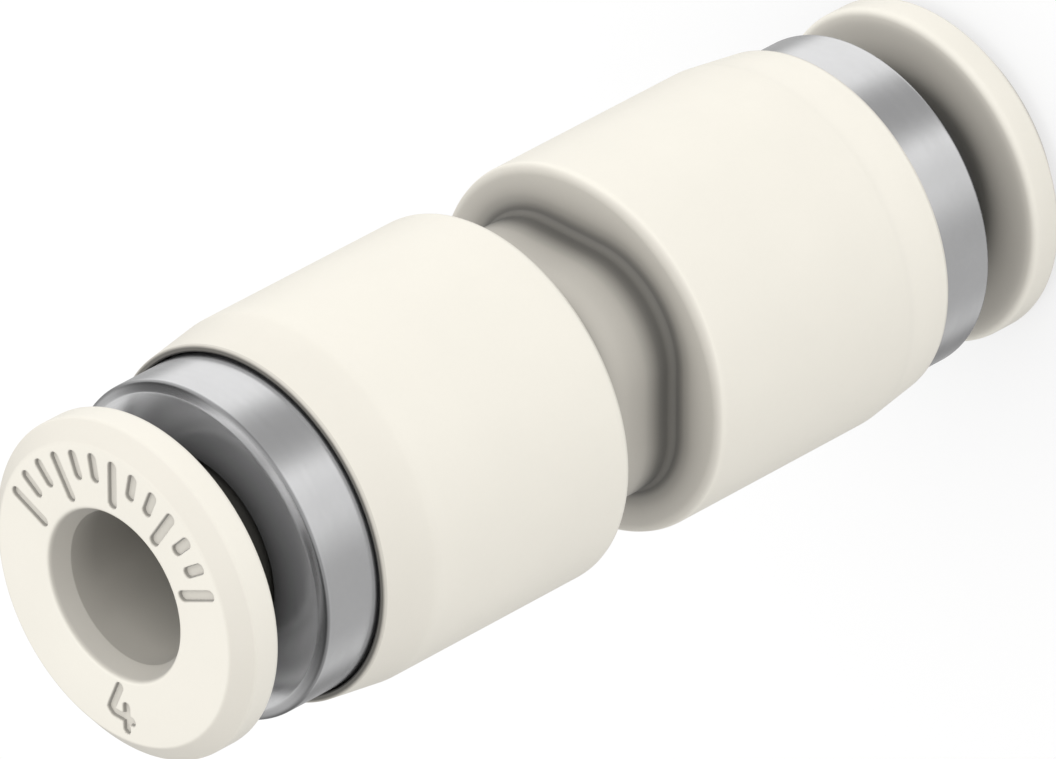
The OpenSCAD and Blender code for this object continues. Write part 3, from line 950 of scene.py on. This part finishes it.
def bar_outline(start, end, half):
    heading = math.atan2(end.y - start.y, end.x - start.x)
    points = []
    for centre, first in ((end, -0.5 * math.pi), (start, 0.5 * math.pi)):
        for step in range(ROUND_STEPS + 1):
            turn = heading + first + math.pi * step / ROUND_STEPS
            points.append((centre.x + half * math.cos(turn), centre.y + half * math.sin(turn)))
    return points


def stroke_cutter(start, end, half):
    floor, above = bar_outline(start, end, half - DRAFT), bar_outline(start, end, half + DRAFT)
    return prism("stroke", [(FACE - SUNK, floor), (FACE + CLEAR, above)])


def slot_cutter(half, reach, low, high):
    """A cross, so that one cutter makes all four slots."""
    plus = [
        (reach, -half), (reach, half), (half, half), (half, reach),
        (-half, reach), (-half, half), (-reach, half), (-reach, -half),
        (-half, -half), (-half, -reach), (half, -reach), (half, -half),
    ]
    turn = Matrix.Rotation(math.radians(45), 2)
    points = [turn @ Vector(corner) for corner in plus]
    return prism("slots", [(low, points), (high, points)])

# %% [markdown]
# A Boolean modifier takes one cutter out of the ring. All of them are stacked on one object,
# and the finished mesh is read back, so that what is left is a real, plain mesh.

# %% Cut with many cutters
def cut(mesh, cutters):
    whole = bpy.data.objects.new("whole", mesh)
    used = [whole] + [bpy.data.objects.new("cutter", cutter) for cutter in cutters]
    for thing in used:
        bpy.context.scene.collection.objects.link(thing)
    for cutter in used[1:]:
        change = whole.modifiers.new("cut", "BOOLEAN")
        change.operation, change.solver, change.object = "DIFFERENCE", "MANIFOLD", cutter
    result = bpy.data.meshes.new_from_object(
        whole.evaluated_get(bpy.context.evaluated_depsgraph_get())
    )
    for thing in used:
        bpy.data.objects.remove(thing)
    return result

# %% Release rings
FLANGE, UNDER_FLANGE, SLEEVE, EDGE = 4.57, 13.37, 2.565, 0.12
# The bead catches behind the collar's shoulder, and the tip meets the teeth
BEAD, BEAD_STOP, TIP_END, TIP_ROUND, SLOT_END = 3.3, 9.717, 7.267, 0.06, 10.217
BEVEL_WIDE, BEVEL_DEEP = 0.52, 0.45
RING_BORE, RING_MOUTH, MOUTH_DEEP = 2.065, 2.33, 0.55
SLOT_HALF, SLOT_REACH, SLOT_START = 0.25, 4.0, TIP_END - 0.5
ring_points = outline([
    (FLANGE - BEVEL_WIDE, FACE, EDGE), (FLANGE, FACE - BEVEL_DEEP, EDGE),
    (FLANGE, UNDER_FLANGE, 0.2), (SLEEVE, UNDER_FLANGE, 0.25), (SLEEVE, BEAD_STOP, 0.03),
    (BEAD, BEAD_STOP, 0.05), (BEAD, 9.117, 0.15), (2.445, TIP_END, TIP_ROUND),
    (RING_BORE, TIP_END, TIP_ROUND), (RING_BORE, FACE - MOUTH_DEEP, 0.03),
    (RING_MOUTH, FACE, EDGE),
])
plain_ring = revolve("release_ring", ring_points)
face_outwards(plain_ring)
cutters = [stroke_cutter(*stroke) for stroke in strokes]
cutters.append(slot_cutter(SLOT_HALF, SLOT_REACH, SLOT_START, SLOT_END))
for cutter in cutters:
    face_outwards(cutter)
engraved_ring = cut(plain_ring, cutters)
on_rings = ("upper_ring", "lower_ring")
both_ends("release_ring", engraved_ring, ring_plastic, on_rings)

# %% [markdown]
# ## The support rings and the seals
# The support ring has a cone that leaves the teeth room to open. The seal is a rubber ring
# with a round lip that the tube squeezes. Both are swept. The lip is half a circle, more than
# one rounded corner can make, so its points are worked out.

# %% Support rings and seals
SUPPORT, SUPPORT_BORE, SUPPORT_TOP = 3.98, 2.1, 6.47
support_points = outline([
    (SUPPORT_BORE, SOCKET_FLOOR, 0.05), (SUPPORT, SOCKET_FLOOR, 0.04),
    (SUPPORT, SUPPORT_TOP, 0.04), (3.41, SUPPORT_TOP, 0.03), (SUPPORT_BORE, 5.12, 0.04),
])
support_mesh = revolve("support_ring", support_points)
both_ends("support_ring", support_mesh, inner_plastic, on_housing)

SEAL, SEAL_TOP, SEAL_ROUND = 3.38, 4.85, 0.12
LIP, LIP_HEIGHT, LIP_ROUND, LIP_POINTS = 2.38, 4.05, 0.5, 25
lip = [
    (LIP - LIP_ROUND * math.cos(turn), LIP_HEIGHT + LIP_ROUND * math.sin(turn), 0)
    for turn in np.linspace(math.pi / 2, -math.pi / 2, LIP_POINTS)
]
seal_points = outline([
    (SEAL, CHAMBER_FLOOR, SEAL_ROUND), (SEAL, SEAL_TOP, SEAL_ROUND),
    (LIP, SEAL_TOP, 0.04), *lip, (LIP, CHAMBER_FLOOR, 0.04),
])
both_ends("seal", revolve("seal", seal_points), seal_rubber, on_housing)

# %% [markdown]
# ## The claws
# A claw is stamped from thin spring steel: a flat rim, and eight teeth that lean inwards.
# Its CAD solid is already right, so its mesh is copied. The teeth have to bend when the
# release ring pushes on them, so level cuts give them more points along their slope.

# %% Claws
# The level cuts, and how near to each other points count as one
CUTS_FROM, CUTS_TO, CUTS_APART = 5.6, 6.7, 0.12
SAME_PLACE = 0.1 * MICRON


def claw(end):
    node = end + "_claw"
    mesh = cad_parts[node].data.copy()
    side = 1 if end == "upper" else -1
    shape = bmesh.new()
    shape.from_mesh(mesh)
    bmesh.ops.remove_doubles(shape, verts=shape.verts, dist=SAME_PLACE)
    for level in np.arange(CUTS_FROM, CUTS_TO, CUTS_APART):
        bmesh.ops.bisect_plane(
            shape, geom=[*shape.verts, *shape.edges, *shape.faces],
            plane_co=MIDDLE + Vector((0, 0, side * level * MM)), plane_no=(0, 0, 1),
        )
    shape.to_mesh(mesh)
    shape.free()
    made = piece(node + "_piece", mesh, claw_steel, node)
    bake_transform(made)


claw("upper")
claw("lower")
